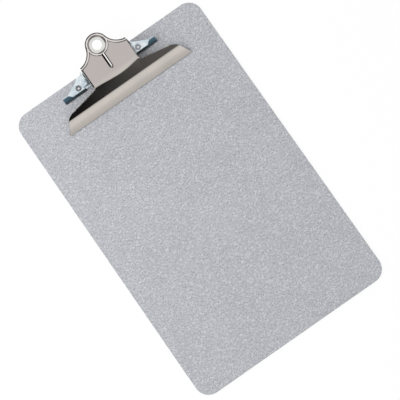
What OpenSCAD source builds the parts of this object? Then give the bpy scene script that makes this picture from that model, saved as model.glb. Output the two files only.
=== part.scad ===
// Flat metal clipboard with a wide spring-loaded lever clip.
// The board lies flat with its back on z = 0 and its centre at x = y = 0.
// The clip end points along +Y, and the clip is built from the middle of the board's top edge.

/* [Board] */
// Width of the board
board_w = 229; // [190:1:320]
// Length of the board
board_l = 356; // [250:1:460]
// Thickness of the board's sheet
board_t = 2; // [1.6:0.1:4]
// Radius of the board's corners
board_corner_r = 15.5; // [4:0.5:30]
// Rounding of the board's edges, top and bottom
board_edge_r = 0.5; // [0.2:0.1:0.7]

/* [Lever plate] */
// Thickness of the lever and jaw sheet
lever_t = 1.1; // [0.9:0.05:1.3]
// Width of the lever plate over its side flanges
lever_w = 56.8; // [50:0.4:66]
// Distance of the lever to the right of the board's middle, where its play lets it rest
lever_shift = 4; // [3:0.25:5]
// Slope of the lever plate, which rises towards its tip
lever_slope = 14.5; // [8:0.5:20]
// Distance from the fold to the shoulders where the plate narrows
shoulder_len = 25.6; // [23:0.2:28]
// Distance from the fold to the centre of the round tip
tip_len = 35.8; // [33:0.2:40]
// Radius of the round tip
tip_r = 12.6; // [12:0.1:14]
// How far beyond the side flange the shoulder curve is centred
shoulder_out = 1.6; // [1:0.2:3]
// Radius of the bend between plate and side flange
side_bend_r = 2; // [1.6:0.1:2.4]

/* [Lever curl, dish and rib] */
// Radius of the edge's round curl, which also rings the dish
curl_r = 1.6; // [1.3:0.1:1.8]
// How much slimmer the curl is along the shoulders
curl_slim = 0.25; // [0.2:0.05:0.4]
// Height of the curl's crest over the plate
crest_h = 0.6; // [0.3:0.1:1]
// Radius of the hanging hole
hang_hole_r = 5.5; // [3:0.25:6]
// Depth of the dish round the hole
dish_depth = 0.8; // [0.4:0.1:1.2]
// Length of the stiffening rib
rib_len = 14; // [8:0.5:16]
// Width of the rib
rib_w = 4.6; // [3:0.2:6]
// Height of the rib
rib_h = 1.1; // [0.6:0.1:1.6]

/* [Jaw] */
// Distance of the fold below the board's top edge
fold_back = 25.3; // [24:0.1:28]
// Distance from the fold forward to the foot of the riser
riser_run = 9.5; // [8:0.1:11]
// Steepness of the riser
riser_angle = 56; // [50:0.5:60]
// Distance from the foot of the riser forward to the jaw's edge
lip_run = 12.3; // [10:0.1:16]
// Slope of the lip where it leaves the riser
lip_start = 8; // [4:0.5:12]
// Slope of the lip at the jaw's edge
lip_end = 34; // [26:0.5:40]
// Radius of the fold between plate and riser
fold_r = 4; // [2.5:0.1:5]
// Radius of the hollow between riser and lip
foot_r = 4; // [2.5:0.1:5]
// Width of the jaw at its edge
jaw_w = 154; // [130:1:180]
// How much shorter the lip is at the riser, at each end
jaw_taper = 7; // [3:0.5:12]
// Distance from the lip's inner end to where the wing's end begins to round, along the jaw
wing_round = 10; // [6:0.5:14]
// Height of the wing's top edge over the riser's foot where its end begins to round
wing_knee_h = 5.6; // [4.5:0.1:7]
// Height of the wing's top edge over the riser's foot beside the lever
wing_root_h = 11.9; // [10:0.1:13]
// Gap between the closed jaw and the board
jaw_gap = 0.3; // [0.2:0.05:0.6]

/* [Hinge] */
// Radius of the hinge pin
pin_r = 2; // [1.5:0.1:2.4]
// Distance of the pin below the board's top edge
pin_back = 8; // [7:0.1:9]
// Height of the pin over the board's face
pin_h = 8.5; // [8:0.1:9.5]
// Radial clearance of the pin in the lever's flanges
pin_running = 0.06; // [0.03:0.01:0.09]
// Radial clearance of the pin in the base's ears
pin_seat = 0.02; // [0.01:0.01:0.03]
// Radius of the pin's heads
pin_head_r = 3.2; // [2.8:0.1:3.6]
// Thickness of the pin's heads
pin_head_t = 1.2; // [0.8:0.1:1.6]
// Play between the right flange and the pin's head
pin_end_play = 0.3; // [0.3:0.05:0.8]
// Radius of the flange's round end about the pin
boss_r = 4.2; // [3.6:0.1:5]

/* [Clip base] */
// Thickness of the base's sheet
base_t = 1.2; // [1:0.05:1.4]
// Distance of the paper stops below the board's top edge
stop_back = 18; // [17:0.1:20]
// Distance from the board's middle to the outer end of a wing
wing_reach = 58.2; // [54:0.2:64]
// Gap between the left ear and the lever's flange inside it
ear_gap = 2; // [1:0.1:2.4]
// Height of the ears over the board
ear_h = 13.5; // [13:0.1:14.5]
// Length of the ears along the board
ear_len = 12.6; // [12:0.1:13]
// Width of the relief slot between an ear and the strip in front of it
ear_relief = 0.8; // [0.6:0.1:1.2]
// Distance of the base's rear edge below the board's top edge
base_rear = 0.4; // [0.2:0.1:0.8]
// Radius of the bend between wing and ear
ear_bend_r = 5.4; // [4:0.1:5.6]
// Lean of the paper stops back from upright
stop_lean = 35; // [25:1:45]
// Length of the low lip of a paper stop, up its slope
lip_h = 2.3; // [1.6:0.1:3]
// Length of the horn at the end of a paper stop, up its slope
horn_h = 8.7; // [6:0.1:10]
// Width of the horn at its top
horn_w = 5.9; // [4:0.1:7]
// Width of the slope from the horn down to the lip
horn_slope_w = 4.8; // [3:0.1:7]
// Half the width of the floor that the springs stand on
floor_half = 17.3; // [17:0.1:19]

/* [Rivets] */
// Distance of a rivet from the foot of the ear's bend
rivet_out = 4.9; // [4.4:0.1:6]
// Distance of the rivets below the board's top edge
rivet_back = 10.8; // [9.5:0.1:12]
// Radius of a rivet's shank
rivet_r = 2.4; // [2:0.1:2.6]
// Radius of a rivet's hollow
rivet_hollow_r = 1.5; // [1:0.1:1.6]
// Radius of the rolled end that holds the base
rivet_roll_r = 3.2; // [3:0.1:3.4]
// Height of the rolled end
rivet_roll_h = 0.9; // [0.6:0.1:1.2]
// Radius of the flat head sunk into the board's back
rivet_head_r = 4.6; // [4:0.1:5]
// Thickness of that head
rivet_head_t = 0.8; // [0.5:0.05:0.9]
// Clearance round a rivet's shank and head
rivet_clear = 0.05; // [0.02:0.01:0.1]

/* [Springs] */
// Diameter of the spring wire
wire_d = 1.5; // [1:0.1:1.6]
// Radial clearance between pin and coil
coil_clear = 0.6; // [0.3:0.05:0.8]
// Clear distance between neighbouring coils
coil_space = 0.6; // [0.45:0.05:0.8]
// Whole turns of each spring
coil_turns = 4; // [2:1:4]
// Distance from the board's middle to each spring's upper leg
spring_in = 7.2; // [7.1:0.1:7.5]
// Steepness of a spring's upper leg
upper_leg_angle = 74; // [70:1:76]
// Steepness of a spring's lower leg
lower_leg_angle = 30; // [24:1:34]
// Length of the foot at each leg's end
leg_foot = 2.4; // [1.5:0.1:3]
// Gap between a leg's foot and the sheet it presses on
leg_gap = 0.1; // [0.05:0.05:0.3]

/* [Hidden] */
$fn = 64;
// Overlap that joins the solids of one stamping, and the reach of a cut past a face
join = 0.01;
cut = 1;
// Points round the end of the jaw's wing
wing_points = 10;

// Unit vector along the jaw's face, forward and down at angle d, and its outward normal
function ahead(d) = [-cos(d), -sin(d)];
function outward(d) = [-sin(d), cos(d)];

// The jaw's face in the plane of y and z, from its edge back to the fold
foot_back = fold_back + riser_run;
jaw_back = foot_back + lip_run;
foot_tangent = foot_r * tan((riser_angle - lip_start) / 2);
lip_r = (lip_run - foot_tangent * cos(lip_start)) / (sin(lip_end) - sin(lip_start));
foot_h = jaw_gap + lever_t * cos(lip_end) + lip_r * (cos(lip_start) - cos(lip_end))
    + foot_tangent * sin(lip_start);
fold_h = foot_h + riser_run * tan(riser_angle);
fold_tangent = fold_r * tan((riser_angle - lever_slope) / 2);
foot_corner = [-foot_back, foot_h];
fold_corner = [-fold_back, fold_h];
riser_top = fold_corner + fold_tangent * ahead(riser_angle);
riser_bottom = foot_corner - foot_tangent * ahead(riser_angle);
lip_top = foot_corner + foot_tangent * ahead(lip_start);
fold_centre = riser_top - fold_r * outward(riser_angle);
foot_centre = riser_bottom + foot_r * outward(riser_angle);
lip_centre = lip_top - lip_r * outward(lip_start);

// The lever plate's outline: shoulder curves tangent to the round tip
lever_half = lever_w / 2;
jaw_half = jaw_w / 2;
shoulder_x = lever_half + shoulder_out;
// Radius of a curve centred at shoulder_x that starts at the shoulder and touches the tip:
// (s - shoulder_len) ^ 2 + out ^ 2 = r ^ 2 and (s - tip_len) ^ 2 + x ^ 2 = (r + tip_r) ^ 2
span = tip_len - shoulder_len;
k_lin = (shoulder_x * shoulder_x + span * span - tip_r * tip_r - shoulder_out * shoulder_out) / 2;
// With u = s - shoulder_len: k_lin - span * u = tip_r * r and r ^ 2 = u ^ 2 + out ^ 2
q_a = span * span - tip_r * tip_r;
q_b = -2 * k_lin * span;
q_c = k_lin * k_lin - tip_r * tip_r * shoulder_out * shoulder_out;
shoulder_u = (-q_b - sqrt(q_b * q_b - 4 * q_a * q_c)) / (2 * q_a);
shoulder_s = shoulder_len + (shoulder_u > 0 ? shoulder_u : (-q_b + sqrt(q_b * q_b - 4 * q_a * q_c)) / (2 * q_a));
shoulder_r = norm([shoulder_x, shoulder_s - tip_len]) - tip_r;
tangent_angle = atan2(shoulder_s - tip_len, shoulder_x);

// The pin's axis seen from the lever plate: distance from the fold, and height over its face
pin_from_fold = [fold_back - pin_back, pin_h - fold_h];
pin_s = pin_from_fold[0] * cos(lever_slope) + pin_from_fold[1] * sin(lever_slope);
pin_n = -pin_from_fold[0] * sin(lever_slope) + pin_from_fold[1] * cos(lever_slope);

// Places along x of the base's ears, the foot of their bends and the rivets
ear_in = lever_half - lever_shift + ear_gap;
ear_out = ear_in + base_t;
bend_foot = ear_out + ear_bend_r;
rivet_x = bend_foot + rivet_out;

// The frame of the clip: the middle of the board's top edge, on its face
module at_clip() translate([0, board_l / 2, board_t]) children();

// The frame of the lever plate: its fold, with y towards the tip and z out of its face
module at_lever() at_clip() translate([lever_shift, -fold_back, fold_h]) rotate([lever_slope, 0, 0]) children();

// A flat outline in y and z carried along x, w wide and centred
module along_x(w) rotate([90, 0, 90]) linear_extrude(w, center = true) children();

// Points of an arc about a centre, from one angle to another
function arc_points(centre, r, a_from, a_to, n) =
    [for (i = [0 : n]) let (a = a_from + (a_to - a_from) * i / n) centre + r * [cos(a), sin(a)]];

// ---------------------------------------------------------------- board

module board_section(w) {
    flat = board_t - 2 * board_edge_r;
    translate([-w / 2 + board_edge_r, 0]) square([w - 2 * board_edge_r, board_t]);
    translate([-w / 2, board_edge_r]) square([w, flat]);
    for (side = [-1, 1], up = [0, 1])
        translate([side * (w / 2 - board_edge_r), board_edge_r + up * flat]) circle(board_edge_r);
}

module board_blank() {
    corner = [board_w / 2 - board_corner_r, board_l / 2 - board_corner_r];
    rotate([90, 0, 0]) linear_extrude(2 * corner[1], center = true) board_section(board_w);
    along_x(2 * corner[0]) board_section(board_l);
    for (side = [-1, 1], end = [-1, 1])
        translate([side * corner[0], end * corner[1], 0]) rotate_extrude() intersection() {
            board_section(2 * board_corner_r);
            square([board_corner_r, board_t]);
        }
}

module board() color([0.73, 0.74, 0.76]) difference() {
    board_blank();
    for (side = [-1, 1]) translate([side * rivet_x, board_l / 2 - rivet_back, 0]) {
        translate([0, 0, -cut]) cylinder(h = board_t + 2 * cut, r = rivet_r + rivet_clear);
        translate([0, 0, -cut]) cylinder(h = rivet_head_t + rivet_clear + cut, r = rivet_head_r + rivet_clear);
    }
}

// ---------------------------------------------------------------- clip base

// The flat of the base: the springs' floor, the strip that ties the wings, and the slanted wings
module base_flat() {
    front = stop_back - base_t - 0.5;
    strip = base_rear + ear_len + ear_relief;
    horn_in = wing_reach - horn_w;
    right = [
        [floor_half, -base_rear],
        [floor_half, -strip],
        [bend_foot, -strip],
        [bend_foot, -base_rear],
        [bend_foot + 1.2, -base_rear],
        [rivet_x - 1.5, -base_rear - 2.9],
        [horn_in - 0.8, -(stop_back - 7.4)],
        [wing_reach, -(stop_back - 3.2)],
        [wing_reach - 0.5, -front]
    ];
    linear_extrude(base_t)
        polygon(concat(right, [for (i = [len(right) - 1 : -1 : 0]) [-right[i][0], right[i][1]]]));
}

// The right ear with the round bend that carries it up from the wing
module ear() {
    bend = [bend_foot, base_t + ear_bend_r];
    tip_round = 1.5;
    rear = -base_rear - tip_round;
    intersection() {
        rotate([90, 0, 0]) linear_extrude(4 * ear_len, center = true) polygon(concat(
            [[bend_foot + 1, 0]],
            arc_points(bend, ear_bend_r + base_t, 270, 180, 10),
            [[ear_in, ear_h], [ear_out, ear_h]],
            arc_points(bend, ear_bend_r, 180, 270, 10),
            [[bend_foot + 1, base_t]]
        ));
        along_x(4 * bend_foot) polygon(concat(
            [[-base_rear - ear_len, -cut], [-base_rear, -cut]],
            arc_points([rear, ear_h - tip_round], tip_round, 0, 90, 6),
            [[-pin_back - 1, ear_h], [-base_rear - ear_len, bend[1] + 1]]
        ));
    }
}

// The right paper stop: a low leaning lip along the wing's front edge that rises to a horn at its end
module paper_stop() {
    front = stop_back - base_t;
    inner = bend_foot - 1.6;
    horn_in = wing_reach - horn_w;
    round_r = 1.2;
    foot = [-front, base_t];
    up = [sin(stop_lean), cos(stop_lean)];
    intersection() {
        translate([wing_reach / 2 + inner, 0, 0]) along_x(wing_reach) polygon(concat(
            [[1 - front, 0]],
            arc_points(foot, base_t, 270, 180 - stop_lean, 8),
            [foot + base_t * [-up[1], up[0]] + (horn_h + 1) * up, foot + (horn_h + 1) * up, foot],
            [[1 - front, base_t]]
        ));
        translate([0, foot[0], foot[1]]) rotate([90 - stop_lean, 0, 0]) linear_extrude(8 * base_t, center = true)
            polygon(concat(
                [[inner, -4], [inner, lip_h], [horn_in - horn_slope_w, lip_h], [horn_in, horn_h]],
                arc_points([wing_reach - round_r, horn_h - round_r], round_r, 90, 0, 6),
                [[wing_reach, -4]]
            ));
    }
}

module clip_base() color([0.8, 0.84, 0.88]) at_clip() difference() {
    union() {
        base_flat();
        for (side = [0, 1]) mirror([side, 0, 0]) {
            ear();
            paper_stop();
        }
    }
    for (side = [-1, 1]) translate([side * rivet_x, -rivet_back, -cut])
        cylinder(h = base_t + 2 * cut, r = rivet_r + rivet_clear);
    translate([0, -pin_back, pin_h]) rotate([0, 90, 0])
        cylinder(h = 2 * bend_foot, r = pin_r + pin_seat, center = true);
}

// ---------------------------------------------------------------- clip lever

// The plate between the fold, the side bends and the middle lines of the curls
module plate_outline() difference() {
    translate([-(lever_half - side_bend_r), fold_tangent]) square([
        2 * (lever_half - side_bend_r),
        tip_len + (tip_r - curl_r) * sin(tangent_angle) - 1 - fold_tangent
    ]);
    for (side = [-1, 1]) translate([side * shoulder_x, shoulder_s]) circle(shoulder_r + curl_r);
    translate([0, tip_len]) circle(tip_r - curl_r);
}

// The curled edge, sharing one ring round the tip and the dish
module ring_curl() {
    translate([0, tip_len, crest_h - curl_r]) rotate_extrude() translate([tip_r - curl_r, 0]) circle(curl_r);
}

// The curl along one shoulder, from the ring to the side flange
module shoulder_curl() {
    start = 180 + tangent_angle;
    end = 270 - asin(shoulder_out / shoulder_r);
    intersection() {
        translate([shoulder_x, shoulder_s, crest_h - curl_r]) rotate([0, 0, start])
            rotate_extrude(angle = end - start + 4)
                translate([shoulder_r + curl_r, 0]) circle(curl_r - curl_slim);
        translate([0, 0, -4 * curl_r]) cube([lever_half, 2 * tip_len, 8 * curl_r]);
    }
}

// A round-ended bar along the plate whose top stands rib_h over the face, drawn in by t
module rib_bar(t) {
    r = (rib_w * rib_w / 4 + rib_h * rib_h) / (2 * rib_h);
    first = tip_len - tip_r - rib_len;
    ends = [first + rib_w / 2, first + rib_len];
    translate([0, ends[0], rib_h - r]) {
        rotate([-90, 0, 0]) cylinder(h = ends[1] - ends[0], r = r - t);
        sphere(r - t);
    }
}

// One side flange, whose round end takes the pin
module flange_outline() {
    root = [fold_tangent, shoulder_len];
    low = -side_bend_r - 1.4;
    // straight edges from the plate to the round end, tangent to it
    function touch(p, sign) =
        let (d = [pin_s, pin_n] - p, a = atan2(d[1], d[0]), b = asin(boss_r / norm(d)))
        p + sqrt(d * d - boss_r * boss_r) * [cos(a + sign * b), sin(a + sign * b)];
    polygon([
        [root[0], cut],
        [root[0], low],
        touch([root[0], low], -1),
        [pin_s, pin_n],
        touch([root[1] - 0.6, low], 1),
        [root[1] - 0.6, low],
        [root[1] - 0.6, cut]
    ]);
    translate([pin_s, pin_n]) circle(boss_r);
}

// The right flange with the bend that carries it down from the plate
module flange() intersection() {
    centre = [lever_half - side_bend_r, -side_bend_r];
    low = pin_n - 2 * boss_r;
    translate([0, 2 * tip_len, 0]) rotate([90, 0, 0]) linear_extrude(3 * tip_len) polygon(concat(
        [[centre[0] - 1, 0]],
        arc_points(centre, side_bend_r, 90, 0, 6),
        [[lever_half, low], [lever_half - lever_t, low]],
        arc_points(centre, side_bend_r - lever_t, 0, 90, 6),
        [[centre[0] - 1, -lever_t]]
    ));
    along_x(lever_w + 2 * cut) flange_outline();
}

// The start of the plate, the fold, the riser, the hollow at its foot and the arched lip, from the side
module jaw_section() {
    plate_start = fold_centre - ahead(lever_slope);
    polygon(concat(
        [plate_start + fold_r * outward(lever_slope)],
        arc_points(fold_centre, fold_r, 90 + lever_slope, 90 + riser_angle, 6),
        arc_points(foot_centre, foot_r, 270 + riser_angle, 270 + lip_start, 6),
        [for (i = [1 : 8]) arc_points(lip_centre, lip_r, 90 + lip_start, 90 + lip_end, 8)[i]],
        [for (i = [0 : 7]) arc_points(lip_centre, lip_r - lever_t, 90 + lip_end, 90 + lip_start, 8)[i]],
        arc_points(foot_centre, foot_r + lever_t, 270 + lip_start, 270 + riser_angle, 6),
        arc_points(fold_centre, fold_r - lever_t, 90 + riser_angle, 90 + lever_slope, 6),
        [plate_start + (fold_r - lever_t) * outward(lever_slope)]
    ));
}

// The jaw from the front: full height at the lever, sloping wings with rounded ends
module jaw_front() {
    inner = jaw_half - jaw_taper;
    knee = [inner - wing_round, foot_h + wing_knee_h];
    root = [lever_half, foot_h + wing_root_h];
    fall = atan2(root[1] - knee[1], knee[0] - root[0]);
    // the wing's end rounds from the knee, along the wing's slope, down to the riser's foot
    chord = [inner, foot_h] - knee;
    turn = 2 * (atan2(-chord[1], chord[0]) - fall);
    r = norm(chord) / (2 * sin(turn / 2));
    right = concat(
        [[lever_half, 2 * fold_h], root],
        arc_points(knee - r * [sin(fall), cos(fall)], r, 90 - fall, 90 - fall - turn, wing_points),
        [[jaw_w, foot_h], [jaw_w, -fold_h]]
    );
    polygon(concat(right, [for (i = [len(right) - 1 : -1 : 0]) [-right[i][0], right[i][1]]]));
}

// The jaw from above: straight behind the riser's foot, flaring to its full width at the edge
module jaw_plan() {
    inner = jaw_half - jaw_taper;
    flare = jaw_taper / lip_run;
    polygon([
        [-inner, cut],
        [-inner, -foot_back],
        [-jaw_half - flare * cut, -jaw_back - cut],
        [jaw_half + flare * cut, -jaw_back - cut],
        [inner, -foot_back],
        [inner, cut]
    ]);
}

module jaw() at_clip() translate([lever_shift, 0, 0]) intersection() {
    along_x(jaw_w + 2 * cut) jaw_section();
    rotate([90, 0, 0]) linear_extrude(2 * jaw_back, center = true) jaw_front();
    linear_extrude(4 * fold_h, center = true) jaw_plan();
}

module clip_lever() color([0.76, 0.73, 0.7]) difference() {
    union() {
        jaw();
        at_lever() {
            translate([0, 0, -lever_t]) linear_extrude(lever_t) plate_outline();
            ring_curl();
            shoulder_curl();
            mirror([1, 0, 0]) shoulder_curl();
            translate([0, tip_len, -dish_depth - lever_t]) linear_extrude(lever_t) difference() {
                circle(tip_r - curl_r - 0.6);
                circle(hang_hole_r);
            }
            flange();
            mirror([1, 0, 0]) flange();
            intersection() {
                rib_bar(0);
                translate([0, 0, tip_r - lever_t]) cube([2 * tip_r, 4 * tip_len, 2 * tip_r], center = true);
            }
        }
    }
    at_lever() {
        rib_bar(lever_t);
        translate([0, pin_s, pin_n]) rotate([0, 90, 0])
            cylinder(h = 2 * lever_w, r = pin_r + pin_running, center = true);
    }
}

// ---------------------------------------------------------------- hinge pin

module hinge_pin() color([0.7, 0.7, 0.72]) at_clip() {
    left = -ear_out;
    right = lever_shift + lever_half + pin_end_play;
    translate([left, -pin_back, pin_h]) rotate([0, 90, 0]) cylinder(h = right - left, r = pin_r);
    for (end = [0, 1]) translate([end ? right : left, -pin_back, pin_h]) rotate([0, end ? 90 : -90, 0])
        rotate_extrude() {
            square([pin_head_r - pin_head_t, pin_head_t]);
            intersection() {
                translate([pin_head_r - pin_head_t, 0]) circle(pin_head_t);
                square([pin_head_r, pin_head_t]);
            }
        }
}

// ---------------------------------------------------------------- springs

// A round wire of diameter d along a list of points that lie across the x axis
module wire(path, d) {
    sides = 8;
    last = len(path) - 1;
    rings = [
        for (i = [0 : last])
            let (
                along = path[min(i + 1, last)] - path[max(i - 1, 0)],
                t = along / norm(along),
                a_raw = [1, 0, 0] - t[0] * t,
                a = a_raw / norm(a_raw),
                b = cross(t, a)
            )
            [for (k = [0 : sides - 1]) path[i] + d / 2 * (cos(360 * k / sides) * a + sin(360 * k / sides) * b)]
    ];
    polyhedron(
        points = [for (ring = rings) each ring],
        faces = concat(
            [[for (k = [0 : sides - 1]) k]],
            [
                for (i = [0 : last - 1], k = [0 : sides - 1])
                    let (a = i * sides + k, b = i * sides + (k + 1) % sides)
                    each [[a, a + sides, b], [b, a + sides, b + sides]]
            ],
            [[for (k = [sides - 1 : -1 : 0]) last * sides + k]]
        )
    );
}

// The right spring: its upper leg presses up under the lever, its lower leg stands on the floor
module spring() {
    r = pin_r + coil_clear + wire_d / 2;
    pitch = wire_d + coil_space;
    first = 90 + upper_leg_angle;
    whole = 360 * coil_turns + 270 - lower_leg_angle - first;
    steps = round(whole / 30);
    pin = [-pin_back, pin_h];
    function wound(i) = let (a = first + whole * i / steps)
        [spring_in + pitch * whole / 360 * i / steps, pin[0] + r * cos(a), pin[1] + r * sin(a)];
    start = wound(0);
    finish = wound(steps);
    // the upper foot lies under the plate: height of its middle line where the leg reaches it
    under = lever_t + wire_d / 2 + leg_gap;
    plate = fold_corner - under * outward(lever_slope);
    rise = [cos(upper_leg_angle), sin(upper_leg_angle)];
    upper = let (k = (outward(lever_slope) * (plate - [start[1], start[2]])) / (outward(lever_slope) * rise))
        [start[1], start[2]] + k * rise;
    lower_z = base_t + wire_d / 2 + leg_gap;
    lower_y = finish[1] + (finish[2] - lower_z) / tan(lower_leg_angle);
    // each leg bends into its foot over one wire diameter
    bend = wire_d;
    function from_upper(k) = [spring_in, upper[0], upper[1]] + k;
    path = concat(
        [
            from_upper([0, leg_foot * cos(lever_slope), leg_foot * sin(lever_slope)]),
            from_upper([0, bend * cos(lever_slope), bend * sin(lever_slope)] / 2),
            from_upper([0, -bend * rise[0], -bend * rise[1]] / 2)
        ],
        [for (i = [0 : steps]) wound(i)],
        [
            [finish[0], lower_y - bend / 2 * cos(lower_leg_angle), lower_z + bend / 2 * sin(lower_leg_angle)],
            [finish[0], lower_y + bend / 2, lower_z],
            [finish[0], lower_y + leg_foot, lower_z]
        ]
    );
    // least distance between the wire's surfaces, measured between points a turn apart
    turn_steps = floor(360 / (whole / steps));
    gaps = [
        for (i = [0 : steps - turn_steps], k = [-1 : 1])
            if (i + turn_steps + k <= steps) norm(wound(i + turn_steps + k) - wound(i)) - wire_d
    ];
    echo(spring_least_gap_mm = min(gaps));
    wire(path, wire_d);
}

module spring_left() color([0.55, 0.56, 0.58]) at_clip() mirror([1, 0, 0]) spring();
module spring_right() color([0.55, 0.56, 0.58]) at_clip() spring();

// ---------------------------------------------------------------- rivets

// Tubular rivets: a flat head sunk into the board's back, and a hollow end rolled over the base
module rivets() color([0.74, 0.76, 0.78])
    for (side = [-1, 1]) translate([side * rivet_x, board_l / 2 - rivet_back, 0]) {
        seat = board_t + base_t;
        roll_r = (rivet_roll_r - rivet_hollow_r) / 2;
        difference() {
            union() {
                translate([0, 0, rivet_clear]) cylinder(h = rivet_head_t, r = rivet_head_r);
                translate([0, 0, rivet_clear]) cylinder(h = seat - rivet_clear + join, r = rivet_r);
                translate([0, 0, seat]) rotate_extrude() intersection() {
                    translate([rivet_hollow_r + roll_r, rivet_roll_h - roll_r]) circle(roll_r);
                    square([rivet_roll_r, rivet_roll_h]);
                }
            }
            translate([0, 0, board_t - rivet_clear]) cylinder(h = seat + cut, r = rivet_hollow_r);
        }
    }

board();
clip_base();
clip_lever();
hinge_pin();
spring_left();
spring_right();
rivets();
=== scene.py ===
# %% [markdown]
# # A clipboard with a lever clip
# A clipboard is a flat sheet that carries paper and a sprung clamp that holds it. This lesson builds the
# one in the frame: a grey enamelled board, a nickel-plated lever pressed from a single sheet, and a
# zinc-plated base that carries the hinge pin, two torsion springs and two tubular rivets.
# All lengths are in millimetres while shapes are worked out, and become metres when a mesh is made.

# %% Load the frame
import bmesh
import bpy
import numpy as np
from mathutils import Matrix, Vector


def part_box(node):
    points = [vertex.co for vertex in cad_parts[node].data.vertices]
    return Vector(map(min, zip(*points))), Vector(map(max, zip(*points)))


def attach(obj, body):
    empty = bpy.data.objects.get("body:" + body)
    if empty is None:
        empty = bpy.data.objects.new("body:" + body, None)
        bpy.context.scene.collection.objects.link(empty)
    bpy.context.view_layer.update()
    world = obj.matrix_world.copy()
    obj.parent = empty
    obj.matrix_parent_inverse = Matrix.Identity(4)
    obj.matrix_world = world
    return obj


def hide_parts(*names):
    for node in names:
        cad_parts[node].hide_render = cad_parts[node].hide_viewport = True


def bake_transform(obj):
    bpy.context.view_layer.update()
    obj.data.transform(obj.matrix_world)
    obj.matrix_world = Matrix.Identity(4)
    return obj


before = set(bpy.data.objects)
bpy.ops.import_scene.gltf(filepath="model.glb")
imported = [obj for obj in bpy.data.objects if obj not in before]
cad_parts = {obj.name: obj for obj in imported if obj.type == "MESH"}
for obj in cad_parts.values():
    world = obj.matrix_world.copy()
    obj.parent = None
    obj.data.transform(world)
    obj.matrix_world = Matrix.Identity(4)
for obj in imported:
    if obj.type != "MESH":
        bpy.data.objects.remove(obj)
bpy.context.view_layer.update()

MM = 0.001
print("nodes:", sorted(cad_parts))

# %% [markdown]
# ## The camera
# A picture taken from far away with a long lens shows hardly any perspective. The position and the three
# axes below were solved from the four straight edges and the rounded corners of the board, whose size is
# known. A camera could also be placed by hand with a track constraint, but a solved matrix is exact and
# keeps the edges of the board on the edges in the picture.

# %% Camera
camera_data = bpy.data.cameras.new("camera")
camera = bpy.data.objects.new("camera", camera_data)
bpy.context.scene.collection.objects.link(camera)
bpy.context.scene.camera = camera
camera_data.type = "PERSP"
camera_data.sensor_width = 36.0
camera_data.lens = 270.0
camera_right = Vector((0.8196618, -0.5623394, -0.1092198))
camera_down = Vector((-0.5728372, -0.8057692, -0.1503113))
camera_ahead = Vector((-0.00348, 0.1857696, -0.9825872))
turn = Matrix((camera_right, -camera_down, -camera_ahead)).transposed()
camera.matrix_world = Matrix.Translation((0.010212, -0.580451, 3.051464)) @ turn.to_4x4()
bpy.context.scene.view_settings.view_transform = "Standard"
print("camera at", [round(c, 3) for c in camera.matrix_world.translation])


# %% [markdown]
# ## Shader arithmetic
# A finish is a formula over a point of the object: noise, thresholds, blends. Nodes can be wired one by
# one, but then the formula is lost in plumbing. The small class below wraps a socket so that Python's own
# operators add the Math nodes, and one method adds any other node from its type, settings and inputs.

# %% Sockets that answer to arithmetic
def feed(tree, plug, value):
    """Link a Signal to an input of the tree, or write a plain value on it."""
    if isinstance(value, Signal):
        tree.links.new(value.socket, plug)
    else:
        plug.default_value = value


class Signal:
    """A socket of a shader tree; arithmetic on it adds Math nodes to the tree."""

    def __init__(self, tree, socket):
        self.tree, self.socket = tree, socket

    def node(self, kind, settings=None, output=0, **inputs):
        """Add a node of this kind.

        Inputs are named as in Blender, with _ for a space, or by their number, as i0, i1."""
        made = self.tree.nodes.new("ShaderNode" + kind)
        for key, value in (settings or {}).items():
            setattr(made, key, value)
        for key, value in inputs.items():
            name = key.replace("_", " ")
            plug = made.inputs[int(key[1:])] if key[1:].isdigit() else made.inputs[name]
            feed(self.tree, plug, value)
        return Signal(self.tree, made.outputs[output])

    def math(self, operation, *others):
        """operation(self, others...) as one Math node."""
        plugs = {f"i{k}": v for k, v in enumerate((self, *others))}
        return self.node("Math", {"operation": operation}, **plugs)

    def flipped(self, operation, other):
        """operation(other, self), for an operator whose left side is a plain number."""
        return self.node("Math", {"operation": operation}, i0=other, i1=self)

    def __add__(self, other): return self.math("ADD", other)
    def __radd__(self, other): return self.flipped("ADD", other)
    def __sub__(self, other): return self.math("SUBTRACT", other)
    def __rsub__(self, other): return self.flipped("SUBTRACT", other)
    def __mul__(self, other): return self.math("MULTIPLY", other)
    def __truediv__(self, other): return self.math("DIVIDE", other)
    def __pow__(self, other): return self.math("POWER", other)
    def __gt__(self, other): return self.math("GREATER_THAN", other)
    def __lt__(self, other): return self.math("LESS_THAN", other)
    def __abs__(self): return self.math("ABSOLUTE")

    def ramp(self, low, high):
        """0 below low, 1 above high, eased between: 3t^2 - 2t^3."""
        return self.node("MapRange", {"interpolation_type": "SMOOTHSTEP"},
                         Value=self, From_Min=low, From_Max=high)

    def blend(self, first, second):
        """The colour first where self is 0 and second where it is 1."""
        return self.node("Mix", {"data_type": "RGBA"}, 2, i0=self, i6=first, i7=second)

    def moved(self, scale=(1, 1, 1), turn=(0, 0, 0)):
        """Coordinates stretched and turned, for grain that runs one way."""
        return self.node("Mapping", Vector=self, Scale=scale, Rotation=turn)

    def axis(self, which):
        """One of the coordinates x, y, z (0, 1, 2), in metres."""
        return self.node("SeparateXYZ", output=which, Vector=self)

    def noise(self, per_mm, detail=2.0, roughness=0.5):
        """Noise over these coordinates, with about per_mm features in a millimetre."""
        return self.node("TexNoise", Vector=self, Scale=per_mm / MM, Detail=detail, Roughness=roughness)

    def cells(self, per_mm, feature="F1"):
        """Distance to the nearest of scattered points."""
        return self.node("TexVoronoi", {"feature": feature}, Vector=self, Scale=per_mm / MM)


def object_place(tree):
    """Object coordinates, which are the part's own, as every piece stands at the origin."""
    return Signal(tree, None).node("TexCoord", output=3)


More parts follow.
